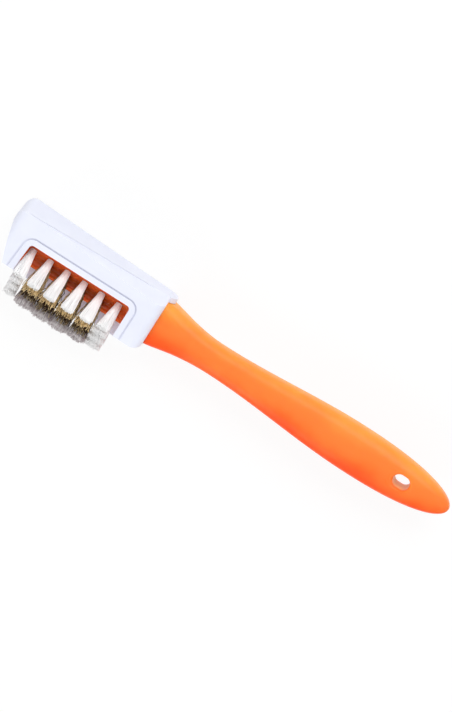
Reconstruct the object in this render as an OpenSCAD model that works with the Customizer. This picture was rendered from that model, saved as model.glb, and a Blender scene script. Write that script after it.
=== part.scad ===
// Suede brush: an orange handle whose front block carries a canted field of nylon and brass tufts,
// inside a white rubber jacket with a window in its near wall.
// The brush lies on its side. +X runs from the head to the tip of the handle, +Y to the back of the
// head and +Z to the window. The origin is under the handle's axis, on the flat far wall of the
// jacket, at the middle of the head's length. All sizes are in millimetres.

/* [Whole brush] */
// Length of the brush from the front of the jacket to the tip of the handle
overall_l = 160; // [150:1:180]

/* [Rubber jacket] */
// Length of the jacket
head_l = 53.5; // [50:0.5:58]
// Width of the jacket across its two flat walls
head_w = 24; // [23:0.5:28]
// Height of the flat back above the handle's axis
back_h = 9.6; // [9.4:0.1:12]
// Width of the flat back at its neck end, where the shoulders have drawn it in
back_neck_w = 11; // [8:0.5:16]
// Height above the handle's axis at which the shoulders begin
shoulder_h = 6.8; // [6:0.1:7.2]
// Thickness of the rubber
wall = 2; // [1.6:0.1:2.4]
// Radius of the upright corners
corner_r = 3; // [2.6:0.1:4]
// Radius of the back's front edge
front_edge_r = 2.7; // [2.5:0.1:3.5]
// Radius of the back's neck edge
neck_edge_r = 1.2; // [0.8:0.1:2]
// Reach of the tongue that covers the root of the handle
tongue_l = 2; // [1:0.1:3]
// Thickness of the tongue
tongue_t = 1.7; // [1:0.05:1.75]
// Step from the flat back down to the tongue
tongue_step = 0.1; // [0.05:0.05:0.3]

/* [Mouth of the jacket] */
// Slant of the mouth towards the window, in degrees
mouth_slant = 12.5; // [8:0.5:16]
// Depth of the rim below the handle's axis at the front
rim_front = 10.4; // [9.5:0.1:12]
// Depth of the rim below the handle's axis at the neck end
rim_neck = 11.3; // [9.5:0.1:12.5]
// Distance that the front edge sweeps back on its way to the rim
rim_sweep = 4; // [2:0.1:4.5]
// Height above the handle's axis at which that sweep begins
sweep_h = 4.1; // [0:0.1:5]
// Radius of the rim's corner at the neck end
rim_corner_r = 3.3; // [2:0.1:4]

/* [Window] */
// Width of the post in front of the window
front_post = 8.6; // [7:0.1:9]
// Width of the post behind the window
neck_post = 8.9; // [7.5:0.1:9.5]
// Height of the window's top edge above the handle's axis
window_h = 1.5; // [1:0.1:2]
// Radius of the window's two closed corners
window_r = 1.2; // [0.8:0.1:2]
// Distance that the window's front edge leans out on its way to the rim
window_lean = 0.9; // [0:0.1:1.5]
// Width of the bevelled frame round the window
frame_w = 2.2; // [1.5:0.1:2.5]
// Depth of the bevel at the window's edge
bevel_d = 0.6; // [0.3:0.1:0.9]
// Width of the groove round the frame
groove_w = 0.5; // [0.3:0.1:0.8]
// Depth of the groove
groove_d = 0.4; // [0.2:0.1:0.6]

/* [Tuft block] */
// Slant of the face that carries the tufts, in degrees
face_slant = 29; // [24:0.5:32]
// Depth of the middle of that face below the handle's axis
face_drop = 3.8; // [3.3:0.1:4.3]
// Depth of the tuft holes
hole_depth = 6; // [5:0.1:6.5]
// Diameter of the tuft holes
hole_d = 2; // [1.8:0.05:2.4]
// Gap between the block and the jacket, and round the handle's root
fit_gap = 0.15; // [0.1:0.05:0.3]

/* [Bristle field] */
// Distance from the window's front edge to the middle of the first column
front_clear = 1.55; // [1.4:0.05:2.5]
// Distance from the window's rear edge to the middle of the last column
rear_clear = 3.45; // [2:0.05:4]
// Distance by which the columns draw together from the block to the tips
column_draw = 0.1; // [0:0.05:0.2]
// Distance between tufts across the head, at the block
row_pitch = 4.27; // [4:0.05:4.4]
// Distance between tufts across the head, at their tips
tip_row_pitch = 4.95; // [4.8:0.05:5.2]
// Free length of the tufts in the middle of the head
tuft_l = 12.8; // [10:0.1:14]
// Shortening of the tufts at the two ends of the head
dome_drop = 1.5; // [0:0.1:2.5]
// Diameter over the strands where they leave the block
tuft_root_d = 1.75; // [1.5:0.05:1.75]
// Diameter over the strands at their tips
tuft_tip_d = 4.8; // [4:0.05:4.8]
// Diameter of a strand where it leaves the block
strand_root_d = 0.26; // [0.2:0.02:0.28]
// Diameter of a strand at its tip
strand_tip_d = 0.6; // [0.3:0.02:0.64]

/* [Tuft anchors] */
// Width of the flat staple that holds each tuft
anchor_w = 1.6; // [1.2:0.1:1.7]
// Thickness of the staple
anchor_t = 0.35; // [0.2:0.05:0.5]
// Height of the staple
anchor_h = 1.8; // [1:0.1:2.5]

/* [Handle] */
// Height of the handle where it leaves the jacket
root_h = 15.1; // [13:0.1:15.6]
// Thickness of the handle where it leaves the jacket
root_t = 12; // [10:0.1:14]
// Distance from the jacket to the slimmest place of the neck
neck_run = 21.5; // [16:0.5:26]
// Height of the neck
neck_h = 9.8; // [8:0.1:12]
// Thickness of the neck
neck_t = 10; // [8:0.1:12]
// Distance from the tip to the fullest place of the palm
palm_run = 32.5; // [26:0.5:38]
// Height of the palm
palm_h = 15.2; // [13:0.1:18]
// Thickness of the palm
palm_t = 12; // [10:0.1:14]
// Thickness of the handle near its tip
tip_t = 8.5; // [7:0.1:10]
// Drop of the handle's middle line from the neck to the tip
axis_drop = 0.7; // [0:0.1:1.5]
// Radius of the handle's long edges
grip_edge_r = 3; // [2:0.1:4]

/* [Hang slot] */
// Distance from the tip to the middle of the slot
slot_run = 16.9; // [14:0.1:20]
// Length of the slot
slot_l = 5.6; // [5.4:0.1:8]
// Width of the slot
slot_w = 4.3; // [4:0.1:5]
// Size of the chamfer round both ends of the slot
slot_chamfer = 0.5; // [0.2:0.1:0.8]

/* [Hidden] */
rows = 4;
columns = 6;
strands = 16;
golden_angle = 137.508;
strand_sides = 3;
// Share of a tuft's length, and of its spread, at which its strands bend
bend_at = 0.4;
bend_spread = 0.52;
// Depth to which a strand is rooted in the tuft's fold
strand_seat = 0.5;
// Depth to which the handle's body is rooted in the block
grip_seat = 1;
// Running gap round the fold of a tuft, and between the fold and its anchor
fold_gap = 0.1;
anchor_gap = 0.05;
// Allowance by which a cutting tool runs past the face that it cuts
past = 1;
// Reach of a cutting tool that has to clear the whole head
reach = 60;
least_r = 0.5;
// Power by which the front edge's sweep grows, a straight line at 1
sweep_power = 1.35;
// Flat land left between the groove and the bevel
groove_land = 0.2;
// Share of the bevel by which its cutter carries on into the open window
bevel_run_on = 0.2;
// Thickness of a cutter's end that stands for an edge
thin = 0.01;
round_fn = 32;
bore_fn = 48;
arc_steps = 8;
ring_steps = 6;
grip_rings = 22;
end_rings = 14;
// Last angle of the rounded tip, short of the quarter turn at which the section vanishes
end_angle = 88;

mid_z = head_w / 2;
front_x = -head_l / 2;
rear_x = head_l / 2;
tip_x = front_x + overall_l;
neck_x = rear_x + neck_run;
palm_x = tip_x - palm_run;
slot_x = tip_x - slot_run;
window_front_x = front_x + front_post;
window_rear_x = rear_x - neck_post;
first_x = window_front_x + front_clear;
last_x = window_rear_x - rear_clear;
field_x = (first_x + last_x) / 2;
column_pitch = (last_x - first_x) / (columns - 1);
tip_column_pitch = column_pitch - column_draw;
near_z = mid_z + head_w / 2;
grip_start_x = rear_x - wall - fit_gap - grip_seat;

orange = [1, 0.5, 0.18];
rubber_white = [0.93, 0.94, 0.99];
nylon_white = [0.98, 0.98, 0.99];
brass_gold = [0.72, 0.53, 0.22];
anchor_grey = [0.7, 0.7, 0.68];

// Points of an arc round a centre
function arc(centre, r, from, to) =
    [for (i = [0:arc_steps]) centre + r * [cos(from + (to - from) * i / arc_steps),
                                           sin(from + (to - from) * i / arc_steps)]];

// Smooth rise from 0 to 1 whose early part is hurried by a power under 1
function ease(s, power) = (1 - cos(180 * pow(s, power))) / 2;

// Share of the way along the rounded end, 0 at the palm and 1 at the tip
function end_share(x) = max(0, (x - palm_x) / palm_run);

// Half height and half thickness of the handle at a place along it
function grip_half_h(x) =
    x <= rear_x ? root_h / 2
    : x < neck_x ? (root_h + (neck_h - root_h) * ease((x - rear_x) / neck_run, 0.75)) / 2
    : x < palm_x ? (neck_h + (palm_h - neck_h) * ease((x - neck_x) / (palm_x - neck_x), 0.9)) / 2
    : palm_h / 2 * sqrt(1 - pow(end_share(x), 2));
function grip_half_t(x) =
    x <= rear_x ? root_t / 2
    : x < neck_x ? (root_t + (neck_t - root_t) * ease((x - rear_x) / neck_run, 0.75)) / 2
    : x < palm_x ? (neck_t + (palm_t - neck_t) * ease((x - neck_x) / (palm_x - neck_x), 0.9)) / 2
    : (palm_t - (palm_t - tip_t) * pow(end_share(x), 2)) / 2 * sqrt(1 - pow(end_share(x), 10));

// Middle line of the handle, which drops a little on the way to the tip
function grip_y(x) = x < neck_x ? 0 : -axis_drop * (x - neck_x) / (tip_x - neck_x);

// One section of the handle, a rectangle with round corners
function grip_ring(x, grow) =
    let (h = grip_half_h(x) + grow,
         t = grip_half_t(x) + grow,
         r = min(grip_edge_r + grow, 0.9 * h, 0.9 * t))
    [for (q = [0:3], i = [0:ring_steps])
        let (a = 90 * (q + i / ring_steps),
             side_y = (q == 0 || q == 3) ? 1 : -1,
             side_z = q < 2 ? 1 : -1)
        [x,
         grip_y(x) + side_y * (h - r) + r * cos(a),
         mid_z + side_z * (t - r) + r * sin(a)]];

// Closed skin over a stack of rings that all have as many points
module skin(rings) {
    n = len(rings[0]);
    last = len(rings) - 1;
    polyhedron(
        points = [for (ring = rings, p = ring) p],
        faces = concat(
            [[for (i = [0:n - 1]) i]],
            [for (k = [0:last - 1], i = [0:n - 1], half = [0, 1])
                let (a = k * n + i, b = k * n + (i + 1) % n)
                half == 0 ? [a, a + n, b] : [b, a + n, b + n]],
            [[for (i = [n - 1:-1:0]) last * n + i]]));
}

// The jacket's closed outer shape, or the same shape drawn in by a distance: an upright block with
// round corners, whose back is whole at the front and narrows between flat shoulders to the neck
module head_form(inset) {
    r = max(corner_r - inset, least_r);
    front_r = max(front_edge_r - inset, least_r);
    neck_r = max(neck_edge_r - inset, least_r);
    l = head_l - 2 * inset;
    w = head_w - 2 * inset;
    top = back_h - inset;
    intersection() {
        translate([-l / 2, top, mid_z - w / 2])
            rotate([90, 0, 0])
                linear_extrude(height = top + reach / 2)
                    polygon(concat(arc([r, r], r, 180, 270),
                                   arc([l - r, r], r, 270, 360),
                                   arc([l - r, w - r], r, 0, 90),
                                   arc([r, w - r], r, 90, 180)));
        hull() {
            translate([front_r - l / 2, top - front_r, mid_z])
                cylinder(r = front_r, h = w, center = true, $fn = round_fn);
            for (side = [-1, 1])
                translate([l / 2 - neck_r, top - neck_r, mid_z + side * (back_neck_w / 2 - inset - neck_r)])
                    sphere(r = neck_r, $fn = round_fn);
            translate([-l / 2, -reach / 2, mid_z - w / 2])
                cube([l, reach / 2 + shoulder_h - inset, w]);
        }
    }
}

// Height of the front edge's sweep at a share of its way to the rim
function sweep_point(s, inset) =
    [front_x + inset + rim_sweep * pow(s, sweep_power), sweep_h - (sweep_h + rim_front) * s];

// All that lies within the swept front edge and above the slanting rim, or below it by a distance
module mouth_form(inset, lower) {
    corner = [rear_x - inset - rim_corner_r, rim_corner_r - rim_neck - lower];
    foot = sweep_point(1, inset);
    translate([0, 0, mid_z])
        rotate([-mouth_slant, 0, 0])
            linear_extrude(height = reach, center = true)
                polygon(concat(
                    [[front_x - past, reach], [front_x - past, sweep_point(1 / arc_steps, inset)[1]]],
                    [for (i = [1:arc_steps]) sweep_point(i / arc_steps, inset)],
                    lower > 0 ? [[foot[0], foot[1] - lower]] : [],
                    arc(corner, rim_corner_r, -90, 0),
                    [[rear_x + tongue_l + past, corner[1]], [rear_x + tongue_l + past, reach]]));
}

// Outline of the window, open at the rim, or the same outline grown all round
module window_outline(grow) {
    r = window_r + grow;
    left = window_front_x - grow;
    right = window_rear_x + grow;
    top = window_h + grow;
    // The front edge leans out evenly over the depth of the near wall
    lean = window_lean * reach / (window_h + rim_front);
    polygon(concat(
        [[left - lean, top - reach], [right, top - reach]],
        arc([right - r, top - r], r, 0, 90),
        arc([left + r, top - r], r, 90, 180)));
}

// Cutter for the bevel that falls from a narrow land beside the groove to the window's edge
module window_bevel() {
    bevel_w = frame_w - groove_w / 2 - groove_land;
    hull() {
        translate([0, 0, near_z])
            linear_extrude(height = past)
                window_outline(bevel_w);
        translate([0, 0, near_z - bevel_d * (1 + bevel_run_on)])
            linear_extrude(height = thin)
                window_outline(-bevel_w * bevel_run_on);
    }
}

// Tongue that covers the root of the handle, with a rounded end, a small step below the back
module tongue() {
    half_w = back_neck_w / 2 - neck_edge_r;
    end_r = (half_w * half_w + tongue_l * tongue_l) / (2 * tongue_l);
    top = back_h - tongue_step;
    intersection() {
        translate([rear_x + tongue_l - end_r, top - tongue_t, mid_z])
            rotate([-90, 0, 0])
                cylinder(r = end_r, h = tongue_t, $fn = bore_fn);
        translate([rear_x - corner_r, top - tongue_t - past, mid_z - half_w])
            cube([corner_r + tongue_l + past, tongue_t + 2 * past, 2 * half_w]);
    }
}

// Body of the handle from inside the block to the tip, or the same grown all round
module grip(grow) {
    skin(concat(
        [grip_ring(grip_start_x, grow)],
        [for (i = [0:grip_rings]) grip_ring(rear_x + (palm_x - rear_x) * i / grip_rings, grow)],
        [for (i = [1:end_rings]) grip_ring(palm_x + palm_run * sin(end_angle * i / end_rings), grow)]));
}

// Puts its children on the middle of the tuft face, with z out of the face and y towards the window
module on_face() {
    translate([field_x, -face_drop, mid_z])
        rotate([90 - face_slant, 0, 0])
            children();
}

// Place of a tuft on the face, counted from the window and from the front
function tuft_at(row, column, x_pitch, y_pitch) =
    [(column - (columns - 1) / 2) * x_pitch, ((rows - 1) / 2 - row) * y_pitch];

// Free length of the tufts in a column, which are trimmed to a shallow dome
function free_l(column) = tuft_l - dome_drop * pow(2 * column / (columns - 1) - 1, 2);

function is_brass(row, column) = row > 0 && row < rows - 1 && column > 0 && column < columns - 1;

// Round slot that the brush is hung by, with a chamfer at both faces
module hang_slot() {
    between = (slot_l - slot_w) / 2;
    depth = 2 * grip_half_t(slot_x);
    translate([slot_x, grip_y(slot_x), mid_z]) {
        for (side = [-1, 1])
            translate([side * between, 0, 0])
                cylinder(d = slot_w, h = depth + 2 * past, center = true, $fn = bore_fn);
        cube([2 * between, slot_w, depth + 2 * past], center = true);
        for (face = [-1, 1])
            hull()
                for (side = [-1, 1])
                    translate([side * between, 0, face * (depth / 2 - slot_chamfer / 2)])
                        rotate([face > 0 ? 0 : 180, 0, 0])
                            cylinder(d1 = slot_w, d2 = slot_w + 4 * slot_chamfer,
                                     h = 2 * slot_chamfer, center = true, $fn = round_fn);
    }
}

// Solid front end of the handle, which fills the jacket down to the slanting tuft face
module tuft_block() {
    inset = wall + fit_gap;
    difference() {
        intersection() {
            head_form(inset);
            mouth_form(inset, past);
        }
        on_face()
            translate([-reach, -reach, 0])
                cube(2 * reach);
    }
}

module handle() {
    color(orange)
        difference() {
            union() {
                tuft_block();
                grip(0);
            }
            on_face()
                for (row = [0:rows - 1], column = [0:columns - 1])
                    translate(concat(tuft_at(row, column, column_pitch, row_pitch), -hole_depth))
                        cylinder(d = hole_d, h = hole_depth + past, $fn = bore_fn);
            hang_slot();
        }
}

module rubber_jacket() {
    color(rubber_white)
        difference() {
            union() {
                intersection() {
                    head_form(0);
                    mouth_form(0, 0);
                }
                tongue();
            }
            intersection() {
                head_form(wall);
                mouth_form(wall, reach / 2);
            }
            grip(fit_gap);
            translate([0, 0, near_z - wall - past])
                linear_extrude(height = wall + 2 * past)
                    window_outline(0);
            window_bevel();
            translate([0, 0, near_z - groove_d])
                linear_extrude(height = groove_d + past)
                    difference() {
                        window_outline(frame_w + groove_w / 2);
                        window_outline(frame_w - groove_w / 2);
                    }
        }
}

// One strand, rooted in the tuft's fold, with a single bend on its way out
module strand(i, root, tip, length) {
    share = sqrt((i + 0.5) / strands);
    turn = golden_angle * i;
    out = share * [cos(turn), sin(turn)];
    root_spread = (tuft_root_d - strand_root_d) / 2;
    tip_spread = (tuft_tip_d - strand_tip_d) / 2;
    bend_d = strand_root_d + (strand_tip_d - strand_root_d) * bend_at;
    places = [
        [root + out * root_spread, -strand_seat, strand_root_d],
        [root + out * root_spread, 0, strand_root_d],
        [root + (tip - root) * bend_at + out * (root_spread + (tip_spread - root_spread) * bend_spread),
         length * bend_at, bend_d],
        [tip + out * tip_spread, length, strand_tip_d]];
    skin([for (place = places)
        [for (k = [0:strand_sides - 1])
            let (a = turn + 360 * k / strand_sides)
            concat(place[0] + place[2] / 2 * [cos(a), sin(a)], place[1])]]);
}

// A tuft: its strands, and the fold that the anchor straddles at the foot of the hole
module tuft(row, column) {
    root = tuft_at(row, column, column_pitch, row_pitch);
    tip = tuft_at(row, column, tip_column_pitch, tip_row_pitch);
    fold_l = hole_depth - fold_gap;
    color(is_brass(row, column) ? brass_gold : nylon_white)
        on_face() {
            difference() {
                translate(concat(root, -fold_l))
                    cylinder(d = hole_d - 2 * fold_gap, h = fold_l, $fn = bore_fn);
                translate(concat(root, -fold_l + anchor_h / 2))
                    cube([hole_d, anchor_t + 2 * anchor_gap, anchor_h + 2 * anchor_gap], center = true);
            }
            for (i = [0:strands - 1])
                strand(i, root, tip, free_l(column));
        }
}

module tuft_anchors() {
    color(anchor_grey)
        on_face()
            for (row = [0:rows - 1], column = [0:columns - 1])
                translate(concat(tuft_at(row, column, column_pitch, row_pitch),
                                 anchor_h / 2 + fold_gap - hole_depth))
                    cube([anchor_w, anchor_t, anchor_h], center = true);
}

function tuft_name(row, column) =
    str(is_brass(row, column) ? "brass" : "nylon", "_tuft_row_", row + 1, "_column_", column + 1);

handle();
rubber_jacket();
tuft_anchors();
for (row = [0:rows - 1], column = [0:columns - 1])
    tuft(row, column);
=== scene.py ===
"""Suede brush: orange moulded handle, white rubber jacket, and a canted field of nylon and brass tufts.

The classes hold their sizes in millimetres, in the frame of the CAD model. A length becomes metres where a
mesh, a lamp or the camera is made.
"""

import logging
import random
from dataclasses import dataclass
from enum import Enum
from math import cos, pi, radians, sin, sqrt
from typing import Any

import bmesh
import bpy
from bmesh.types import BMEdge, BMesh
from bpy.types import Material, Mesh, Node, NodeSocket, NodeTree, Object
from mathutils import Matrix, Vector


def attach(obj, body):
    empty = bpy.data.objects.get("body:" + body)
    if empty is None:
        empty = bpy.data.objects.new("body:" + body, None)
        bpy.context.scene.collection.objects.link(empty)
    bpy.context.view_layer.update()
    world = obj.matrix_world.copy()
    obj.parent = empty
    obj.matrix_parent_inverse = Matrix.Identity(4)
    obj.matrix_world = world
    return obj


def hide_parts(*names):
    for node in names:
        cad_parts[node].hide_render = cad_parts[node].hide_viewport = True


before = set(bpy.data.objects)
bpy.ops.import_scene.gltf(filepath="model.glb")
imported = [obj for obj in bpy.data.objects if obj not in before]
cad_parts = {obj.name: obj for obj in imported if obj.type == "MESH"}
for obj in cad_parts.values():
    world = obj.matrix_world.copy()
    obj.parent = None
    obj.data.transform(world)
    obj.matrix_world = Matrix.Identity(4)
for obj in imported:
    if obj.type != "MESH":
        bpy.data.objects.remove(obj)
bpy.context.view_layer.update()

Pair = tuple[float, float]
Triple = tuple[float, float, float]
MM = 0.001
BODY = "root"
WHITE = (1.0, 1.0, 1.0, 1.0)
# Points nearer than this, in metres, are one: in a loft or a cut, and in a copy of a CAD mesh
WELD = 1e-7
CAD_WELD = 2e-6
# Turning by this much from strand to strand spreads them evenly over a disc
GOLDEN_ANGLE = pi * (3 - sqrt(5))
LOG = logging.getLogger("suede_brush")


def linear(hex_code: str) -> tuple[float, float, float, float]:
    """Turn an sRGB colour into linear light.

    Args:
        hex_code: Colour written as a hash and six hex digits.

    Returns:
        Red, green, blue and an alpha of 1.
    """
    channels = [int(hex_code[i:i + 2], 16) / 255 for i in (1, 3, 5)]
    red, green, blue = [c / 12.92 if c <= 0.04045 else ((c + 0.055) / 1.055) ** 2.4 for c in channels]
    return red, green, blue, 1.0


def fill(tree: NodeTree, node: Node, inputs: dict[str | int, Any]) -> None:
    """Fill a node's inputs.

    Args:
        tree: Tree that holds the node.
        node: Node whose inputs are filled.
        inputs: Input names or numbers, each with a value or with the socket that feeds it.
    """
    for key, value in inputs.items():
        if isinstance(key, int):
            target = node.inputs[key]
        else:
            target = next(socket for socket in node.inputs if socket.name == key and socket.enabled)
        if isinstance(value, NodeSocket):
            tree.links.new(value, target)
        else:
            target.default_value = value


def add_node(tree: NodeTree, kind: str, inputs: dict[str | int, Any] | None = None, **settings: Any) -> Node:
    """Add a node, set its properties, and fill or link its inputs.

    Args:
        tree: Tree that gets the node.
        kind: Type name of the node.
        inputs: Input names or numbers, each with a value or with the socket that feeds it.
        **settings: Values of the node's own properties.

    Returns:
        The new node.
    """
    node = tree.nodes.new(kind)
    for name, value in settings.items():
        setattr(node, name, value)
    fill(tree, node, inputs or {})
    return node


def live_output(node: Node) -> NodeSocket:
    """Give the first output that a node has in use."""
    return next(socket for socket in node.outputs if socket.enabled)


def calc(tree: NodeTree, operation: str, *values: Any) -> NodeSocket:
    """Work on numbers, or on sockets that give them, by the named operation."""
    return add_node(tree, "ShaderNodeMath", dict(enumerate(values)), operation=operation).outputs[0]


def vector_calc(tree: NodeTree, operation: str, *values: Any) -> NodeSocket:
    """Work on vectors, or on sockets that give them, by the named operation."""
    return live_output(add_node(tree, "ShaderNodeVectorMath", dict(enumerate(values)), operation=operation))


def scaled(tree: NodeTree, vector: NodeSocket, size: NodeSocket) -> NodeSocket:
    """Multiply a vector by a number."""
    return add_node(tree, "ShaderNodeVectorMath", {0: vector, "Scale": size}, operation="SCALE").outputs[0]


def remap(tree: NodeTree, value: NodeSocket, start: float, end: float, low: Any, high: Any,
          way: str = "LINEAR") -> NodeSocket:
    """Carry a number from start and end to low and high, straight or SMOOTHSTEP, and hold it at the ends."""
    return add_node(tree, "ShaderNodeMapRange", {"Value": value, 1: start, 2: end, 3: low, 4: high},
                    interpolation_type=way).outputs["Result"]


def blend(tree: NodeTree, share: NodeSocket, first: Any, second: Any, kind: str = "RGBA") -> NodeSocket:
    """Mix two colours, or with the kind FLOAT two numbers, by the share of the second."""
    slot = {"RGBA": 6, "FLOAT": 2}[kind]
    return live_output(add_node(
        tree, "ShaderNodeMix", {0: share, slot: first, slot + 1: second}, data_type=kind))


def noise(tree: NodeTree, place: NodeSocket, size: float, detail: float = 2.0,
          roughness: float = 0.5) -> NodeSocket:
    """Make noise with clouds of a real size in millimetres, mostly between 0.2 and 0.8."""
    return add_node(tree, "ShaderNodeTexNoise", {
        "Vector": place, "Scale": 1 / (size * MM), "Detail": detail, "Roughness": roughness}).outputs["Fac"]


def mark(tree: NodeTree, name: str) -> NodeSocket:
    """Read a number that the bristles' mesh carries, for use in a material."""
    return add_node(tree, "ShaderNodeAttribute", attribute_name=name).outputs["Fac"]


def named(tree: NodeTree, name: str, kind: str = "FLOAT") -> NodeSocket:
    """Read a number or vector of a geometry, for use in its node tree."""
    return live_output(add_node(tree, "GeometryNodeInputNamedAttribute", {"Name": name}, data_type=kind))


def own_place(tree: NodeTree) -> NodeSocket:
    """Give the place on the piece."""
    return add_node(tree, "ShaderNodeTexCoord").outputs["Object"]


def bump(tree: NodeTree, height: NodeSocket, depth: float) -> NodeSocket:
    """Turn noise into fine relief of a real depth, in millimetres."""
    return add_node(tree, "ShaderNodeBump", {"Height": height, "Distance": depth * MM}).outputs["Normal"]


def new_object(name: str, mesh: Mesh) -> Object:
    """Put a mesh into the scene as an object at the origin.

    Args:
        name: Name of the object and of its mesh.
        mesh: Mesh whose points are already in place.

    Returns:
        The new object.
    """
    mesh.name = name
    made = bpy.data.objects.new(name, mesh)
    bpy.context.scene.collection.objects.link(made)
    return made


def mesh_of(form: BMesh) -> Mesh:
    """Turn a bmesh into a mesh and free it.

    Args:
        form: Finished bmesh, in metres.

    Returns:
        The mesh.
    """
    mesh = bpy.data.meshes.new("form")
    form.to_mesh(mesh)
    form.free()
    return mesh


def add_cut(piece: Object, name: str, tool: Object) -> None:
    """Add a modifier that cuts a tool out of a piece.

    Args:
        piece: Piece that is cut.
        name: Name of the modifier.
        tool: Closed body that is taken away.
    """
    cut = piece.modifiers.new(name, "BOOLEAN")
    cut.operation = "DIFFERENCE"
    cut.solver = "EXACT"
    cut.object = tool


def apply_modifiers(piece: Object) -> None:
    """Replace a piece's mesh by the result of its modifiers, which are then removed.

    Args:
        piece: Mesh object with live modifiers.
    """
    graph = bpy.context.evaluated_depsgraph_get()
    graph.update()
    made = bpy.data.meshes.new_from_object(piece.evaluated_get(graph), depsgraph=graph)
    piece.modifiers.clear()
    made.name = piece.name
    piece.data = made


def loft(rings: list[list[Vector]]) -> BMesh:
    """Join rings of points into a skin that is closed at both ends.

    Args:
        rings: Rings with as many points each, in millimetres.

    Returns:
        The skin, in metres, with its faces pointing out.
    """
    form = bmesh.new()
    rows = [[form.verts.new(point * MM) for point in ring] for ring in rings]
    count = len(rings[0])
    for near, far in zip(rows, rows[1:]):
        for i in range(count):
            j = (i + 1) % count
            form.faces.new((near[i], near[j], far[j], far[i]))
    form.faces.new(rows[0])
    form.faces.new(rows[-1])
    bmesh.ops.remove_doubles(form, verts=form.verts, dist=WELD)
    bmesh.ops.recalc_face_normals(form, faces=form.faces)
    return form


def cad_copy(node: str) -> BMesh:
    """Copy a CAD node's mesh and merge its loose triangles.

    Args:
        node: Name of the node.

    Returns:
        The merged copy.
    """
    form = bmesh.new()
    form.from_mesh(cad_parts[node].data)
    bmesh.ops.remove_doubles(form, verts=form.verts, dist=CAD_WELD)
    return form


class Filament(Enum):
    """What the strands of a tuft are made of."""

    NYLON = "nylon"
    BRASS = "brass"


@dataclass(frozen=True)
class Finish:
    """Base of the finishes: a real material and the numbers that its shader has all over.

    Light scatters under the surface by a weight, a tint and a depth. The gloss swing is what the lowest and
    the highest grain of the span add to the roughness.
    """

    name: str
    colour: str
    roughness: float
    ior: float = 1.5
    metallic: float = 0.0
    specular: float = 0.5
    sheen: float = 0.0
    scatter: float = 0.0
    scatter_tint: Triple = (1.0, 1.0, 1.0)
    scatter_depth: float = 1.0
    grain_span: Pair = (0.2, 0.8)
    gloss_swing: Pair = (0.0, 0.0)

    def start(self) -> tuple[NodeTree, Node, Material]:
        """Make the material with its shader and output.

        Returns:
            The tree, the principled shader and the material.
        """
        material = bpy.data.materials.new(self.name)
        material.use_nodes = True
        tree = material.node_tree
        tree.nodes.clear()
        shader = add_node(tree, "ShaderNodeBsdfPrincipled", {
            "Base Color": linear(self.colour), "Roughness": self.roughness, "Metallic": self.metallic,
            "IOR": self.ior, "Specular IOR Level": self.specular, "Sheen Weight": self.sheen,
            "Subsurface Weight": self.scatter, "Subsurface Radius": self.scatter_tint,
            "Subsurface Scale": self.scatter_depth * MM})
        add_node(tree, "ShaderNodeOutputMaterial", {"Surface": shader.outputs["BSDF"]})
        return tree, shader, material

    def gloss(self, tree: NodeTree, grain: NodeSocket) -> NodeSocket:
        """Let a grain vary the roughness."""
        return remap(tree, grain, *self.grain_span, *[self.roughness + swing for swing in self.gloss_swing])


@dataclass(frozen=True)
class MouldedPolypropylene(Finish):
    """Orange polypropylene from a polished mould: a satin gloss and a faint ripple, with painted light and
    shade in its colour.
    """

    lit_top_colour: str = "#FF9F42"
    shaded_low_colour: str = "#F24C02"
    shade_band: Pair = (-7.5, 0.5)
    light_band: Pair = (0.5, 8.0)
    cloud: float = 14.0
    cloud_roughness: float = 0.45
    cloud_span: Pair = (0.3, 0.7)
    cloud_shift: float = 1.2
    slot_glow_colour: str = "#FFC068"
    slot_middle: Triple = (116.35, -0.56, 12.0)
    slot_reach: Triple = (6.0, 4.5, 5.0)
    slot_fade: float = 0.85
    recess_shade_colour: str = "#E0561A"
    drilled_end_x: float = 24.4
    drilled_roughness: float = 0.75
    ripple: float = 1.1
    ripple_detail: float = 3.0
    ripple_depth: float = 0.012
    gloss_swing: Pair = (-0.04, 0.06)
    specular: float = 0.18
    scatter: float = 0.6
    scatter_tint: Triple = (1.0, 0.45, 0.15)
    scatter_depth: float = 3.5

    def build(self) -> Material:
        """Make the material.

        Returns:
            The finished material.
        """
        tree, shader, material = self.start()
        place = own_place(tree)
        part = add_node(tree, "ShaderNodeSeparateXYZ", {0: place})
        # Painted light and shade: the moulding is painted lighter and yellower towards its back, where the
        # lamps fall, and darker and redder towards its underside, with the edge between them wavering in soft
        # clouds
        clouds = noise(tree, place, self.cloud, roughness=self.cloud_roughness)
        drift = remap(tree, clouds, *self.cloud_span, -self.cloud_shift * MM, self.cloud_shift * MM)
        level = calc(tree, "ADD", part.outputs["Y"], drift)
        low = remap(tree, level, *[edge * MM for edge in self.shade_band], 1.0, 0.0, "SMOOTHSTEP")
        high = remap(tree, level, *[edge * MM for edge in self.light_band], 0.0, 1.0, "SMOOTHSTEP")
        lower = blend(tree, low, linear(self.colour), linear(self.shaded_low_colour))
        upper = blend(tree, high, lower, linear(self.lit_top_colour))
        # Painted light: the slot's walls are painted paler, standing in for light that comes through the thin
        # plastic round the slot
        offset = vector_calc(tree, "SUBTRACT", place, Vector(self.slot_middle) * MM)
        away = vector_calc(tree, "LENGTH", vector_calc(tree, "DIVIDE", offset, Vector(self.slot_reach) * MM))
        painted_glow = remap(tree, away, self.slot_fade, 1.0, 1.0, 0.0)
        whole = blend(tree, painted_glow, upper, linear(self.slot_glow_colour))
        # Painted shade: the block's face, deep in the jacket, is painted a darker, redder orange; the drill
        # has left it matt
        shaded_drilled_face = calc(tree, "LESS_THAN", part.outputs["X"], self.drilled_end_x * MM)
        ripples = noise(tree, place, self.ripple, self.ripple_detail)
        fill(tree, shader, {
            "Base Color": blend(tree, shaded_drilled_face, whole, linear(self.recess_shade_colour)),
            "Roughness": blend(tree, shaded_drilled_face, self.gloss(tree, ripples), self.drilled_roughness, "FLOAT"),
            "Normal": bump(tree, ripples, self.ripple_depth)})
        return material


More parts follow.
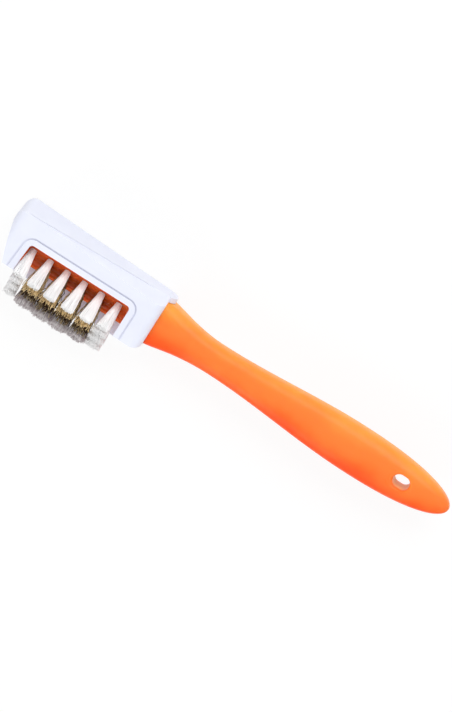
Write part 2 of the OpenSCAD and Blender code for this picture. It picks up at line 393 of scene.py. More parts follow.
@dataclass(frozen=True)
class MouldedRubber(Finish):
    """White thermoplastic rubber from an etched mould: matt, very slightly grained, a little translucent,
    with painted shade in its grooves.
    """

    shade: str = "#DADDEC"
    cloud: float = 9.0
    crevice_shade: str = "#D1D3E0"
    crevice: float = 0.8
    crevice_samples: int = 8
    grain: float = 0.45
    grain_detail: float = 4.0
    grain_roughness: float = 0.6
    grain_depth: float = 0.02
    gloss_swing: Pair = (-0.05, 0.05)
    scatter: float = 0.2
    scatter_tint: Triple = (1.0, 0.95, 1.0)
    scatter_depth: float = 1.2

    def build(self) -> Material:
        """Make the material.

        Returns:
            The finished material.
        """
        tree, shader, material = self.start()
        place = own_place(tree)
        clean = blend(tree, noise(tree, place, self.cloud), linear(self.colour), linear(self.shade))
        # Painted shade: an occlusion mask greys the grooves and creases, where shade falls
        open_air = add_node(tree, "ShaderNodeAmbientOcclusion", {"Distance": self.crevice * MM},
                            samples=self.crevice_samples, only_local=True)
        grain = noise(tree, place, self.grain, self.grain_detail, self.grain_roughness)
        fill(tree, shader, {
            "Base Color": blend(tree, open_air.outputs["AO"], linear(self.crevice_shade), clean),
            "Roughness": self.gloss(tree, grain), "Normal": bump(tree, grain, self.grain_depth)})
        return material


@dataclass(frozen=True)
class NylonFilament(Finish):
    """Extruded nylon bristle: glossy, with a soft white sheen, and painted shade that greys the tips of the
    far rows.
    """

    shaded_tip_colour: str = "#967D81"
    shade_start: float = 0.45
    shade_least: float = 0.35
    sheen: float = 0.9
    scatter: float = 0.08
    scatter_depth: float = 0.3

    def build(self) -> Material:
        """Make the material.

        Returns:
            The finished material.
        """
        tree, shader, material = self.start()
        # Painted shade: the tips of the tufts in the far rows are painted greyer, each strand by its own
        # amount
        late = remap(tree, mark(tree, "along"), self.shade_start, 1.0, 0.0, 1.0)
        own = remap(tree, mark(tree, "chance"), 0.0, 1.0, self.shade_least, 1.0)
        tip_shade = calc(tree, "MULTIPLY", calc(tree, "MULTIPLY", late, own), mark(tree, "row_shade"))
        fill(tree, shader, {
            "Base Color": blend(tree, tip_shade, linear(self.colour), linear(self.shaded_tip_colour))})
        return material


@dataclass(frozen=True)
class BrassWire(Finish):
    """Drawn brass wire, crimped: bright gold, and brown where it is tarnished and where painted shade darkens
    the farther row.
    """

    tarnish_and_shade_colour: str = "#3F2616"
    spot: float = 1.2
    shade_weight: float = 0.7
    darkening_span: Pair = (0.85, 1.5)
    grain_span: Pair = (0.0, 1.0)
    gloss_swing: Pair = (-0.08, 0.15)

    def build(self) -> Material:
        """Make the material.

        Returns:
            The finished material.
        """
        tree, shader, material = self.start()
        place = own_place(tree)
        # Tarnish comes in spots about a millimetre long, and some wires have more of it; painted shade
        # darkens the farther row of brass tufts on top of it
        spots = calc(tree, "ADD", noise(tree, place, self.spot), mark(tree, "chance"))
        tarnish_and_shade = calc(tree, "MULTIPLY_ADD", mark(tree, "row_shade"), self.shade_weight, spots)
        darkening = remap(tree, tarnish_and_shade, *self.darkening_span, 0.0, 1.0)
        fill(tree, shader, {
            "Base Color": blend(tree, darkening, linear(self.colour), linear(self.tarnish_and_shade_colour)),
            "Roughness": self.gloss(tree, darkening)})
        return material


@dataclass(frozen=True)
class StapleSteel(Finish):
    """Galvanised steel strip, cut into staples: grey, with fine drawing marks along its length."""

    mark_size: float = 0.08
    mark_stretch: Triple = (0.1, 1.0, 1.0)
    grain_span: Pair = (0.3, 0.7)
    gloss_swing: Pair = (-0.1, 0.1)

    def build(self) -> Material:
        """Make the material.

        Returns:
            The finished material.
        """
        tree, shader, material = self.start()
        place = own_place(tree)
        stretch = add_node(tree, "ShaderNodeMapping", {"Vector": place, "Scale": self.mark_stretch})
        marks = noise(tree, stretch.outputs["Vector"], self.mark_size)
        fill(tree, shader, {"Roughness": self.gloss(tree, marks)})
        return material


@dataclass(frozen=True)
class Grip:
    """The handle outside the block: eased from a deep root to a slim neck, a full palm and a round tip.

    A name that ends in _h is a height along Y, in _t a thickness along Z, in _run a length along X and in _r
    a radius.
    """

    start_x: float = 23.6
    rear_x: float = 26.75
    neck_run: float = 21.5
    palm_run: float = 34.0
    tip_x: float = 133.25
    mid_z: float = 12.0
    root_h: float = 15.35
    root_t: float = 12.0
    neck_h: float = 9.8
    neck_t: float = 10.0
    palm_h: float = 15.1
    palm_t: float = 12.0
    tip_t: float = 8.5
    neck_hurry: float = 0.75
    tip_power: float = 2.3
    thinning_power: int = 2
    closing_power: int = 10
    root_lift: float = 0.125
    neck_drop: float = 0.28
    tip_drop: float = 0.78
    drop_power: float = 1.2
    edge_r: float = 3.0
    edge_limit: float = 0.9
    crown_power: float = 3.0
    crown_run: float = 9.0
    slot_x: float = 116.35
    slot_y: float = -0.56
    slot_l: float = 5.6
    slot_w: float = 4.3
    slot_edge_r: float = 1.1
    tool_margin: float = 1.5
    stations: int = 72
    tip_stations: int = 30
    corner_steps: int = 14
    flat_steps: int = 8
    slot_edge_steps: int = 8
    slot_end_steps: int = 24
    pole_size: float = 1e-5

    @property
    def neck_x(self) -> float:
        """Tell where the handle is slimmest."""
        return self.rear_x + self.neck_run

    @property
    def palm_x(self) -> float:
        """Tell where the handle is fullest."""
        return self.tip_x - self.palm_run

    @staticmethod
    def ease(share: float, power: float = 1.0) -> float:
        """Rise smoothly from 0 to 1, with an early part that a power under 1 hurries."""
        return (1 - cos(pi * share ** power)) / 2

    def size_at(self, x: float, root: float, neck: float, palm: float) -> float:
        """Blend three sizes along the handle, up to its fullest place.

        Args:
            x: Place along the handle.
            root: Size where the handle leaves the jacket.
            neck: Size at the slimmest place.
            palm: Size at the fullest place.

        Returns:
            The size at that place.
        """
        if x <= self.rear_x:
            return root
        if x < self.neck_x:
            return root + (neck - root) * self.ease((x - self.rear_x) / self.neck_run, self.neck_hurry)
        if x < self.palm_x:
            return neck + (palm - neck) * self.ease((x - self.neck_x) / (self.palm_x - self.neck_x))
        return palm

    def halves(self, x: float) -> Pair:
        """Give the handle's half height and half thickness.

        Args:
            x: Place along the handle.

        Returns:
            Half height and half thickness.
        """
        height = self.size_at(x, self.root_h, self.neck_h, self.palm_h) / 2
        depth = self.size_at(x, self.root_t, self.neck_t, self.palm_t) / 2
        share = min(1.0, max(0.0, (x - self.palm_x) / self.palm_run))
        if share > 0:
            height *= sqrt(1 - share ** self.tip_power)
            depth -= (self.palm_t - self.tip_t) * share ** self.thinning_power / 2
            depth *= sqrt(1 - share ** self.closing_power)
        return height, depth

    def middle_y(self, x: float) -> float:
        """Give the height of the handle's middle line, which drops to the neck and on to the tip.

        Args:
            x: Place along the handle.

        Returns:
            The height along Y.
        """
        if x < self.neck_x:
            share = self.ease(max(0.0, (x - self.rear_x) / self.neck_run))
            return self.root_lift - (self.root_lift + self.neck_drop) * share
        share = ((x - self.neck_x) / (self.tip_x - self.neck_x)) ** self.drop_power
        return -self.neck_drop - (self.tip_drop - self.neck_drop) * share

    def squared_ring(self, x: float, height: float, depth: float) -> list[Vector]:
        """Make a rectangle with round corners, as the handle is where it leaves the jacket.

        Args:
            x: Place along the handle.
            height: Half height.
            depth: Half thickness.

        Returns:
            The ring's points, in order, round the middle line.
        """
        r = min(self.edge_r, self.edge_limit * height, self.edge_limit * depth)
        corners = []
        for quarter, (side_y, side_z) in enumerate(((1, 1), (-1, 1), (-1, -1), (1, -1))):
            turns = [pi / 2 * (quarter + i / self.corner_steps) for i in range(self.corner_steps + 1)]
            corners.append([Vector((x, side_y * (height - r) + r * cos(turn),
                                    side_z * (depth - r) + r * sin(turn))) for turn in turns])
        points = []
        for near, far in zip(corners, corners[1:] + corners[:1]):
            points += near
            points += [near[-1].lerp(far[0], i / self.flat_steps) for i in range(1, self.flat_steps)]
        return points

    def ring(self, x: float) -> list[Vector]:
        """Make one section of the handle: square-set in the jacket, and crowned on all sides beyond it.

        Args:
            x: Place along the handle.

        Returns:
            The section's points, in order.
        """
        height, depth = self.halves(x)
        crown = min(1.0, max(0.0, (x - self.rear_x) / self.crown_run))
        shift = Vector((0, self.middle_y(x), self.mid_z))
        power = self.crown_power
        section = []
        for point in self.squared_ring(x, height, depth):
            fit = (abs(point.y / height) ** power + abs(point.z / depth) ** power) ** (-1 / power)
            section.append(point.lerp(Vector((x, point.y * fit, point.z * fit)), crown) + shift)
        return section

    def body(self) -> BMesh:
        """Loft the handle from inside the block to a pole at its tip.

        Returns:
            The closed skin.
        """
        run = self.palm_x - self.rear_x
        places = [self.start_x]
        places += [self.rear_x + run * i / self.stations for i in range(self.stations + 1)]
        places += [self.palm_x + self.palm_run * sin(pi / 2 * i / self.tip_stations)
                   for i in range(1, self.tip_stations)]
        rings = [self.ring(x) for x in places]
        pole = Vector((self.tip_x, self.middle_y(self.tip_x), self.mid_z))
        size = self.pole_size
        rings.append([pole + Vector((0, (p.y - pole.y) * size, (p.z - pole.z) * size)) for p in rings[-1]])
        return loft(rings)

    def slot_tool(self) -> BMesh:
        """Make the slot's cutter, which flares at both ends so that it leaves a rounded edge.

        Returns:
            The closed cutter.
        """
        surface = self.halves(self.slot_x)[1]
        r = self.slot_edge_r
        turns = [pi / 2 * i / self.slot_edge_steps for i in range(self.slot_edge_steps + 1)]
        levels = [(surface + self.tool_margin, r + self.tool_margin)]
        levels += [(surface - r * (1 - cos(turn)), r * (1 - sin(turn))) for turn in turns]
        levels += [(-z, grow) for z, grow in reversed(levels)]
        between = (self.slot_l - self.slot_w) / 2
        rings = []
        for z, grow in levels:
            end_r = self.slot_w / 2 + grow
            ring = []
            for side, first in ((1, -0.5), (-1, 0.5)):
                for i in range(self.slot_end_steps + 1):
                    angle = pi * (first + i / self.slot_end_steps)
                    ring.append(Vector((self.slot_x + side * between + end_r * cos(angle),
                                        self.slot_y + end_r * sin(angle), self.mid_z + z)))
            rings.append(ring)
        return loft(rings)


@dataclass
class Handle:
    """The orange moulding: the grip, and the block with its canted, drilled face inside the jacket."""

    grip: Grip = Grip()
    block_end_x: float = 24.2
    sharp_angle: float = 38.0
    finish: MouldedPolypropylene = MouldedPolypropylene(
        "moulded_polypropylene_orange", "#FF8136", roughness=0.36, ior=1.49)

    def block(self) -> BMesh:
        """Take the block from the CAD handle, cut off from the coarser grip behind it.

        Returns:
            The closed block with its holes.
        """
        form = cad_copy("handle")
        cut = bmesh.ops.bisect_plane(
            form, geom=form.verts[:] + form.edges[:] + form.faces[:], dist=WELD,
            plane_co=(self.block_end_x * MM, 0, 0), plane_no=(1, 0, 0), clear_outer=True)
        rim = [item for item in cut["geom_cut"] if isinstance(item, BMEdge)]
        bmesh.ops.holes_fill(form, edges=rim, sides=0)
        return form

    def build(self) -> Object:
        """Make the handle's two overlapping shells as one piece.

        Returns:
            The piece.
        """
        body = new_object("handle_moulding", mesh_of(self.grip.body()))
        tool = new_object("slot_tool", mesh_of(self.grip.slot_tool()))
        add_cut(body, "slot", tool)
        apply_modifiers(body)
        bpy.data.objects.remove(tool)
        whole = self.block()
        whole.from_mesh(body.data)
        body.data = mesh_of(whole)
        body.data.name = body.name
        body.data.shade_smooth()
        body.data.set_sharp_from_angle(angle=radians(self.sharp_angle))
        body.data.materials.append(self.finish.build())
        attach(body, BODY)
        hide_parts("handle")
        return body


@dataclass
class RubberJacket:
    """The white sleeve: the CAD form with its edges rounded and a fine crease along each shoulder.

    Each station of the crease is its place along X, its height along Y, its distance from the middle plane
    and its radius.
    """

    flat_angle: float = 0.4
    edge_r: float = 0.28
    edge_steps: int = 3
    sharp_angle: float = 26.0
    mid_z: float = 12.0
    crease: tuple[tuple[float, float, float, float], ...] = (
        (-23.6, 9.62, 11.7, 0.1), (-22.0, 9.5, 11.72, 0.3), (-19.0, 9.44, 11.5, 0.5),
        (17.5, 9.42, 5.9, 0.5), (21.5, 9.56, 5.3, 0.14))
    crease_sides: int = 8
    finish: MouldedRubber = MouldedRubber("moulded_rubber_white", "#E4E7F3", roughness=0.5)

    def crease_tool(self, side: int) -> BMesh:
        """Make the cutter of one crease.

        Args:
            side: 1 for the window side, -1 for the other.

        Returns:
            The closed cutter.
        """
        turns = [2 * pi * i / self.crease_sides for i in range(self.crease_sides)]
        return loft([[Vector((x, y + r * cos(turn), self.mid_z + side * out + r * sin(turn)))
                      for turn in turns] for x, y, out, r in self.crease])

    def build(self) -> Object:
        """Round the edges of a merged copy of the CAD jacket and cut its creases.

        Returns:
            The piece.
        """
        form = cad_copy("rubber_jacket")
        bmesh.ops.dissolve_limit(
            form, angle_limit=radians(self.flat_angle), verts=form.verts[:], edges=form.edges[:])
        piece = new_object("jacket_moulding", mesh_of(form))
        piece.data.shade_smooth()
        bevel = piece.modifiers.new("soft_edges", "BEVEL")
        bevel.width = self.edge_r * MM
        bevel.segments = self.edge_steps
        bevel.limit_method = "ANGLE"
        bevel.angle_limit = radians(self.sharp_angle)
        bevel.harden_normals = True
        bevel.miter_outer = "MITER_ARC"
        both = self.crease_tool(-1)
        both.from_mesh(mesh_of(self.crease_tool(1)))
        tool = new_object("crease_tool", mesh_of(both))
        add_cut(piece, "creases", tool)
        piece.modifiers.new("even_shading", "WEIGHTED_NORMAL").keep_sharp = False
        apply_modifiers(piece)
        bpy.data.objects.remove(tool)
        piece.data.materials.append(self.finish.build())
        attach(piece, BODY)
        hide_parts("rubber_jacket")
        return piece


@dataclass
class TuftField:
    """Where the tufts stand on the canted face, how far they reach, how loose they are and how much painted
    shade they get.

    Row 0 is at the window and column 0 at the front. The middle columns reach farther than the outer ones by
    the dome's drop, and each row farther than the one before it.
    """

    rows: int = 4
    columns: int = 6
    middle: Triple = (-1.1, -3.8, 12.0)
    slant: float = 29.0
    column_pitch: float = 6.2
    tip_column_pitch: float = 6.1
    row_pitch: float = 4.27
    tip_row_pitch: float = 4.95
    length: float = 12.3
    dome_drop: float = 1.2
    row_growth: float = 0.77
    tip_shift: tuple[float, ...] = (0.0, -0.6, -0.5, -0.2, 0.0, -0.3)
    rear_looseness: float = 0.5
    end_shade: float = 0.05

    def filament(self, row: int, column: int) -> Filament:
        """Tell what a tuft is made of: brass in the middle of the field, nylon round it."""
        inner = 0 < row < self.rows - 1 and 0 < column < self.columns - 1
        return Filament.BRASS if inner else Filament.NYLON

    def steps(self, row: int, column: int) -> Pair:
        """Count the columns and the rows from the middle of the field to a tuft."""
        return column - (self.columns - 1) / 2, (self.rows - 1) / 2 - row

    def root(self, row: int, column: int) -> Vector:
        """Give a tuft's place on the face, in the face's own frame."""
        across, up = self.steps(row, column)
        return Vector((across * self.column_pitch, up * self.row_pitch, 0))

    def tip(self, row: int, column: int) -> Vector:
        """Give the middle of a tuft's tips, in the face's own frame."""
        across, up = self.steps(row, column)
        reach = self.length - self.dome_drop * (2 * across / (self.columns - 1)) ** 2
        return Vector((across * self.tip_column_pitch + self.tip_shift[column],
                       up * self.tip_row_pitch, reach - self.row_growth * up))

    def looseness(self, row: int, column: int) -> float:
        """Tell how far a tuft has opened: 0 in the near row and front column, 1 fully, less at the rear."""
        if row == 0 or column == 0:
            return 0.0
        return self.rear_looseness if column == self.columns - 1 else 1.0

    def shade_of(self, row: int, column: int) -> float:
        """Tell how much painted shade greys or darkens a tuft: 1 in the far rows, hardly any in the end
        columns, else 0.
        """
        if row > 0 and column in (0, self.columns - 1):
            return self.end_shade
        return 1.0 if row > 1 else 0.0

    def tufts_of(self, filament: Filament) -> list[tuple[int, int]]:
        """List the rows and columns of the tufts that are made of one filament."""
        return [(row, column) for row in range(self.rows) for column in range(self.columns)
                if self.filament(row, column) is filament]

    def nodes_of(self, filament: Filament) -> list[str]:
        """List the CAD nodes of the tufts that are made of one filament."""
        return [f"{filament.value}_tuft_row_{row + 1}_column_{column + 1}"
                for row, column in self.tufts_of(filament)]


@dataclass
class BristleSet:
    """All tufts of one filament, grown strand by strand by a node tree.

    The spreads are the radii of a tuft in its hole, at tight tips and at loose ones. A strand sits in the
    hole by its seat. Wander and crimp are how far it strays and waves, and uneven is how unlike the lengths
    are, as a share.
    """

    filament: Filament
    finish: NylonFilament | BrassWire
    slot: str
    strands: int
    wire_d: float
    points: int
    sides: int = 4
    root_spread: float = 0.84
    tip_spread: float = 1.95
    loose_spread: float = 3.25
    seat: float = 3.8
    wander: float = 0.3
    splay: float = 1.44
    crowding: float = 0.4
    crimp: float = 0.0
    crimp_start: float = 0.2
    waves: float = 0.0
    uneven: float = 0.05
    seed: int = 7
    seed_step: float = 11.0

    def skeleton(self, layout: TuftField) -> Mesh:
        """Make one point for each tuft, with its tip, a turn of its own, its looseness and its share of
        painted shade.

        Args:
            layout: The field that the tufts stand in.

        Returns:
            A mesh of loose points in the face's frame, in millimetres.
        """
        places = layout.tufts_of(self.filament)
        mesh = bpy.data.meshes.new(f"{self.filament.value}_roots")
        mesh.from_pydata([layout.root(*place) for place in places], [], [])
        chooser = random.Random(self.seed)
        # Every attribute is made before any is filled, because a new one moves the others
        mesh.attributes.new("tip", "FLOAT_VECTOR", "POINT")
        for name in ("turn", "loose", "row_shade"):
            mesh.attributes.new(name, "FLOAT", "POINT")
        for i, place in enumerate(places):
            mesh.attributes["tip"].data[i].vector = layout.tip(*place)
            mesh.attributes["turn"].data[i].value = chooser.uniform(0, 2 * pi)
            mesh.attributes["loose"].data[i].value = layout.looseness(*place)
            mesh.attributes["row_shade"].data[i].value = layout.shade_of(*place)
        return mesh

    def tree(self) -> NodeTree:
        """Build the tree that turns each point into a splayed tuft.

        Returns:
            The node tree, with named inputs for its sizes.
        """
        tree = bpy.data.node_groups.new("splayed_tufts", "GeometryNodeTree")
        inputs = {
            "Geometry": ("Roots",), "Int": ("Strands", "Points", "Sides", "Seed"),
            "Float": ("Wire radius", "Root spread", "Tip spread", "Loose spread", "Splay", "Crowding", "Seat",
                      "Wander", "Crimp", "Waves", "Uneven"),
            "Vector": ("Place", "Turn"), "Material": ("Finish",)}
        for kind, names in inputs.items():
            for name in names:
                tree.interface.new_socket(name=name, in_out="INPUT", socket_type=f"NodeSocket{kind}")
        tree.interface.new_socket(name="Tufts", in_out="OUTPUT", socket_type="NodeSocketGeometry")
        given = add_node(tree, "NodeGroupInput").outputs
        strands = self.scattered_strands(tree, given)
        profile = add_node(tree, "GeometryNodeCurvePrimitiveCircle", {
            "Resolution": given["Sides"], "Radius": given["Wire radius"]})
        wires = add_node(tree, "GeometryNodeCurveToMesh", {
            "Curve": self.bent_strands(tree, given, strands), "Profile Curve": profile.outputs["Curve"],
            "Fill Caps": True})
        # Flat facets keep a thin strand bright, and they are too small to be seen
        facets = add_node(tree, "GeometryNodeSetShadeSmooth", {
            "Geometry": wires.outputs["Mesh"], "Shade Smooth": False})
        metres = add_node(tree, "GeometryNodeTransform", {
            "Geometry": facets.outputs["Geometry"], "Translation": given["Place"],
            "Rotation": given["Turn"], "Scale": (MM, MM, MM)})
        real = add_node(tree, "GeometryNodeRealizeInstances", {"Geometry": metres.outputs["Geometry"]})
        dressed = add_node(tree, "GeometryNodeSetMaterial", {
            "Geometry": real.outputs["Geometry"], "Material": given["Finish"]})
        add_node(tree, "NodeGroupOutput", {"Tufts": dressed.outputs["Geometry"]})
        return tree

    @staticmethod
    def store(tree: NodeTree, geometry: NodeSocket, name: str, kind: str, value: NodeSocket) -> NodeSocket:
        """Write a value of one data type on each point of a geometry, under a name."""
        return add_node(tree, "GeometryNodeStoreNamedAttribute", {
            "Geometry": geometry, "Name": name, "Value": value}, data_type=kind).outputs["Geometry"]

    def scattered_strands(self, tree: NodeTree, given: Any) -> NodeSocket:
        """Copy a straight line to each strand's place in its tuft.

        Args:
            tree: Tree under construction.
            given: Sockets of the group's inputs.

        Returns:
            The socket with the curves, which carry the attributes that bend them.
        """
        spots = add_node(tree, "GeometryNodeMeshToPoints", {"Mesh": given["Roots"]})
        copies = add_node(tree, "GeometryNodeDuplicateElements", {
            "Geometry": spots.outputs["Points"], "Amount": given["Strands"]})
        number = copies.outputs["Duplicate Index"]
        part = calc(tree, "DIVIDE", calc(tree, "ADD", number, 0.5), given["Strands"])
        # A crowding of a half spreads the strands evenly, and a lower one packs more into the outside
        share = calc(tree, "POWER", part, given["Crowding"])
        angle = calc(tree, "MULTIPLY_ADD", number, GOLDEN_ANGLE, named(tree, "turn"))
        heading = add_node(tree, "ShaderNodeCombineXYZ", {
            0: calc(tree, "COSINE", angle), 1: calc(tree, "SINE", angle)})
        drift = add_node(tree, "FunctionNodeRandomValue", {
            "Min": (-1.0, -1.0, -1.0), "Max": (1.0, 1.0, 1.0), "Seed": given["Seed"]},
            data_type="FLOAT_VECTOR")
        chance = add_node(tree, "FunctionNodeRandomValue", {
            "Seed": calc(tree, "ADD", given["Seed"], self.seed_step)}, data_type="FLOAT")
        marked = copies.outputs["Geometry"]
        for name, kind, value in (
                ("out", "FLOAT_VECTOR", scaled(tree, heading.outputs[0], share)),
                ("root", "FLOAT_VECTOR", add_node(tree, "GeometryNodeInputPosition").outputs[0]),
                ("drift", "FLOAT_VECTOR", live_output(drift)), ("chance", "FLOAT", live_output(chance))):
            marked = self.store(tree, marked, name, kind, value)
        line = add_node(tree, "GeometryNodeCurvePrimitiveLine", {"End": (0.0, 0.0, 1.0)})
        fine = add_node(tree, "GeometryNodeResampleCurve", {
            "Curve": line.outputs["Curve"], "Count": given["Points"]})
        lines = add_node(tree, "GeometryNodeInstanceOnPoints", {
            "Points": marked, "Instance": fine.outputs["Curve"]})
        return add_node(tree, "GeometryNodeRealizeInstances", {
            "Geometry": lines.outputs["Instances"]}).outputs["Geometry"]

    def bent_strands(self, tree: NodeTree, given: Any, strands: NodeSocket) -> NodeSocket:
        """Lead each line from its hole to its tip, splayed, wandering and crimped.

        Args:
            tree: Tree under construction.
            given: Sockets of the group's inputs.
            strands: Socket with the straight lines.

        Returns:
            The socket with the bent curves.
        """
        vectors = ("tip", "root", "out", "drift")
        tip, root, out, drift = [named(tree, name, "FLOAT_VECTOR") for name in vectors]
        chance, loose = named(tree, "chance"), named(tree, "loose")
        reach = add_node(tree, "ShaderNodeSeparateXYZ", {0: tip}).outputs["Z"]
        factor = add_node(tree, "GeometryNodeSplineParameter").outputs["Factor"]
        # Share of the free length, below 0 inside the hole
        seated = calc(tree, "DIVIDE", given["Seat"], reach)
        run = calc(tree, "MULTIPLY", factor, calc(tree, "ADD", seated, 1.0))
        share = calc(tree, "SUBTRACT", run, seated)
        free = calc(tree, "MAXIMUM", share, 0.0)
        # The splay is quick near the hole and slower towards the tips
        slow = calc(tree, "POWER", calc(tree, "SUBTRACT", 1.0, free), given["Splay"])
        end_spread = remap(tree, loose, 0.0, 1.0, given["Tip spread"], given["Loose spread"])
        spread = remap(tree, slow, 1.0, 0.0, given["Root spread"], end_spread)
        stray = calc(tree, "MULTIPLY", calc(tree, "MULTIPLY", free, free), given["Wander"])
        # Each strand starts its waves at a place of its own
        phase = calc(tree, "ADD", calc(tree, "MULTIPLY", given["Waves"], free), chance)
        swing = calc(tree, "SINE", calc(tree, "MULTIPLY", phase, 2 * pi))
        weave = calc(tree, "MULTIPLY", swing, remap(tree, free, 0.0, self.crimp_start, 0.0, given["Crimp"]))
        axis = vector_calc(tree, "SUBTRACT", tip, root)
        total = root
        for way, size in ((axis, free), (out, spread), (drift, stray), (drift, weave)):
            total = vector_calc(tree, "ADD", total, scaled(tree, way, size))
        flat = add_node(tree, "ShaderNodeSeparateXYZ", {0: total})
        # No two strands are cut to quite the same length
        cut = calc(tree, "MULTIPLY_ADD", chance, given["Uneven"], 1.0)
        height = calc(tree, "MULTIPLY", share, calc(tree, "DIVIDE", reach, cut))
        place = add_node(tree, "ShaderNodeCombineXYZ", {
            0: flat.outputs["X"], 1: flat.outputs["Y"], 2: height})
        return add_node(tree, "GeometryNodeSetPosition", {
            "Geometry": self.store(tree, strands, "along", "FLOAT", free),
            "Position": place.outputs[0]}).outputs["Geometry"]

    def build(self, layout: TuftField) -> Object:
        """Grow the tufts and keep the result as a plain mesh.

        Args:
            layout: The field that the tufts stand in.

        Returns:
            The piece.
        """
        piece = new_object(f"{self.filament.value}_bristles", self.skeleton(layout))
        grow = piece.modifiers.new("tufts", "NODES")
        grow.node_group = self.tree()
        values = {
            "Strands": self.strands, "Points": self.points, "Sides": self.sides, "Seed": self.seed,
            "Wire radius": self.wire_d / 2, "Root spread": self.root_spread, "Tip spread": self.tip_spread,
            "Loose spread": self.loose_spread, "Splay": self.splay, "Crowding": self.crowding,
            "Seat": self.seat, "Wander": self.wander, "Crimp": self.crimp, "Waves": self.waves,
            "Uneven": self.uneven, "Place": [size * MM for size in layout.middle],
            "Turn": [radians(90 - layout.slant), 0.0, 0.0], "Finish": self.finish.build()}
        for item in grow.node_group.interface.items_tree:
            if item.in_out == "INPUT" and item.name in values:
                grow[item.identifier] = values[item.name]
        apply_modifiers(piece)
        # Only what the materials read stays on the mesh
        for name in ("tip", "turn", "loose", "out", "root", "drift"):
            piece.data.attributes.remove(piece.data.attributes[name])
        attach(piece, BODY)
        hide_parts(*layout.nodes_of(self.filament))
        return piece


@dataclass
class TuftAnchors:
    """The staples in the holes, which keep their CAD form."""

    finish: StapleSteel = StapleSteel("galvanised_steel_strip", "#B4B6B4", roughness=0.38, metallic=1.0)

    def build(self) -> Object:
        """Dress the CAD node.

        Returns:
            The CAD node's object.
        """
        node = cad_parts["tuft_anchors"]
        steel = self.finish.build()
        for place in node.material_slots:
            place.material = steel
        if not node.material_slots:
            node.data.materials.append(steel)
        return node


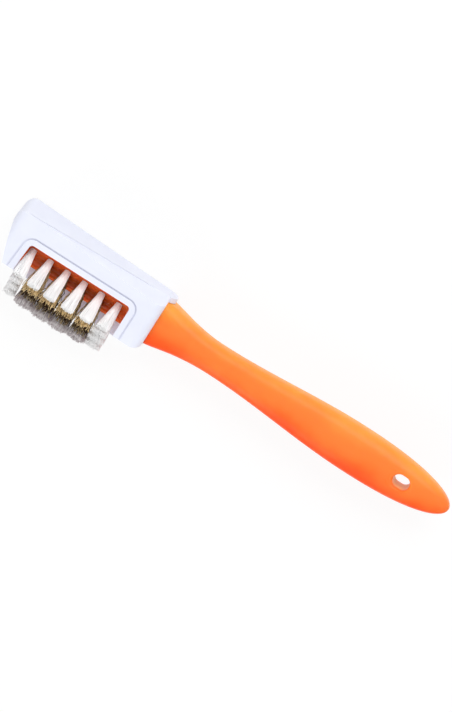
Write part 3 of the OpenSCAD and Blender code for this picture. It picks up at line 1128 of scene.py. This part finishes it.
@dataclass
class Studio:
    """White floor and world, two broad lamps, and the camera at the photograph's angle.

    Each lamp is its name, its place, the side of its square and its power in watts. The camera looks down
    past the brush's back by the tilt and is turned by the roll.
    """

    floor_half: float = 600.0
    floor_gap: float = 0.1
    floor_colour: str = "#FAFAFA"
    shadow_share: float = 0.12
    world_strength: float = 0.65
    target: Triple = (50.4, 2.32, 12.0)
    tilt: float = 12.5
    roll: float = 32.5
    distance: float = 3000.0
    view_limit: float = 10000.0
    frame_height: float = 218.2
    film: float = 36.0
    lamps: tuple[tuple[str, Triple, float, float], ...] = (
        ("key_lamp", (160.0, 460.0, 500.0), 400.0, 2.3),
        ("fill_lamp", (-150.0, -600.0, 430.0), 520.0, 2.4))

    @staticmethod
    def sight(tree: NodeTree) -> NodeSocket:
        """Mark the rays that show the backdrop, seen straight, mirrored or through glass.

        Args:
            tree: Tree that gets the nodes.

        Returns:
            The socket with 1 on those rays and 0 on the rays that carry light.
        """
        ray = add_node(tree, "ShaderNodeLightPath").outputs
        seen = ray["Is Camera Ray"]
        for name in ("Is Glossy Ray", "Is Transmission Ray"):
            seen = calc(tree, "MAXIMUM", seen, ray[name])
        return seen

    def build_floor(self) -> None:
        """Lay the floor that keeps a soft shadow and is white to the camera."""
        form = bmesh.new()
        bmesh.ops.create_grid(form, x_segments=1, y_segments=1, size=self.floor_half * MM)
        bmesh.ops.translate(form, verts=form.verts, vec=(self.target[0] * MM, 0, -self.floor_gap * MM))
        floor = new_object("studio_floor", mesh_of(form))
        material = bpy.data.materials.new("matt_paper_white")
        material.use_nodes = True
        tree = material.node_tree
        tree.nodes.clear()
        paper = add_node(tree, "ShaderNodeBsdfDiffuse", {"Color": linear(self.floor_colour)})
        glow = add_node(tree, "ShaderNodeEmission", {"Color": WHITE})
        both = add_node(tree, "ShaderNodeMixShader", {
            0: calc(tree, "MULTIPLY", self.sight(tree), 1 - self.shadow_share),
            1: paper.outputs[0], 2: glow.outputs[0]})
        add_node(tree, "ShaderNodeOutputMaterial", {"Surface": both.outputs[0]})
        floor.data.materials.append(material)

    def build_world(self) -> None:
        """Light the scene evenly from all round, with a world that is plain white where it is seen."""
        world = bpy.data.worlds.new("studio_world")
        bpy.context.scene.world = world
        world.use_nodes = True
        tree = world.node_tree
        tree.nodes.clear()
        strength = remap(tree, self.sight(tree), 0.0, 1.0, self.world_strength, 1.0)
        sky = add_node(tree, "ShaderNodeBackground", {"Color": WHITE, "Strength": strength})
        add_node(tree, "ShaderNodeOutputWorld", {"Surface": sky.outputs[0]})

    def build_lamps(self) -> None:
        """Hang the broad lamps, each facing the middle of the brush."""
        for name, place, size, power in self.lamps:
            lamp = bpy.data.lights.new(name, "AREA")
            lamp.shape = "SQUARE"
            lamp.size = size * MM
            lamp.energy = power
            hung = bpy.data.objects.new(name, lamp)
            hung.location = Vector(place) * MM
            facing = (Vector(self.target) - Vector(place)).to_track_quat("-Z", "Y")
            hung.rotation_euler = facing.to_euler()
            bpy.context.scene.collection.objects.link(hung)

    def build_camera(self) -> None:
        """Stand the camera where the photograph was taken from."""
        tilt, roll = radians(self.tilt), radians(self.roll)
        along = Vector((1, 0, 0))
        back = Vector((0, cos(tilt), -sin(tilt)))
        right = cos(roll) * along + sin(roll) * back
        up = cos(roll) * back - sin(roll) * along
        towards = right.cross(up)
        data = bpy.data.cameras.new("photo_camera")
        data.sensor_width = self.film
        data.lens = self.film * self.distance / self.frame_height
        data.clip_end = self.view_limit * MM
        camera = bpy.data.objects.new("photo_camera", data)
        matrix = Matrix((right, up, towards)).transposed().to_4x4()
        matrix.translation = (Vector(self.target) + towards * self.distance) * MM
        camera.matrix_world = matrix
        bpy.context.scene.collection.objects.link(camera)
        bpy.context.scene.camera = camera

    def build(self) -> None:
        """Set up the whole studio."""
        self.build_camera()
        self.build_floor()
        self.build_world()
        self.build_lamps()
        bpy.context.scene.view_settings.view_transform = "Standard"


def main() -> None:
    """Build the studio and the brush, and report each piece."""
    logging.basicConfig(level=logging.INFO, format="%(name)s: %(message)s")
    Studio().build()
    layout = TuftField()
    nylon = BristleSet(
        Filament.NYLON, NylonFilament("nylon_filament_white", "#FFFFFF", roughness=0.42, ior=1.53),
        "nylon_bristle", strands=200, wire_d=0.28, points=6, uneven=0.07)
    brass = BristleSet(
        Filament.BRASS, BrassWire("brass_wire_crimped", "#F8E0AE", roughness=0.42, metallic=0.5),
        "brass_wire", strands=120, wire_d=0.2, points=18, loose_spread=2.85, wander=0.8, splay=2.4,
        crowding=0.5, crimp=0.28, waves=4.2, uneven=0.2, seed=23)
    pieces = [Handle().build(), RubberJacket().build(), TuftAnchors().build(), nylon.build(layout),
              brass.build(layout)]
    for piece in pieces:
        triangles = sum(len(face.vertices) - 2 for face in piece.data.polygons)
        LOG.info("%s: %d triangles", piece.name, triangles)


if __name__ == "__main__":
    main()
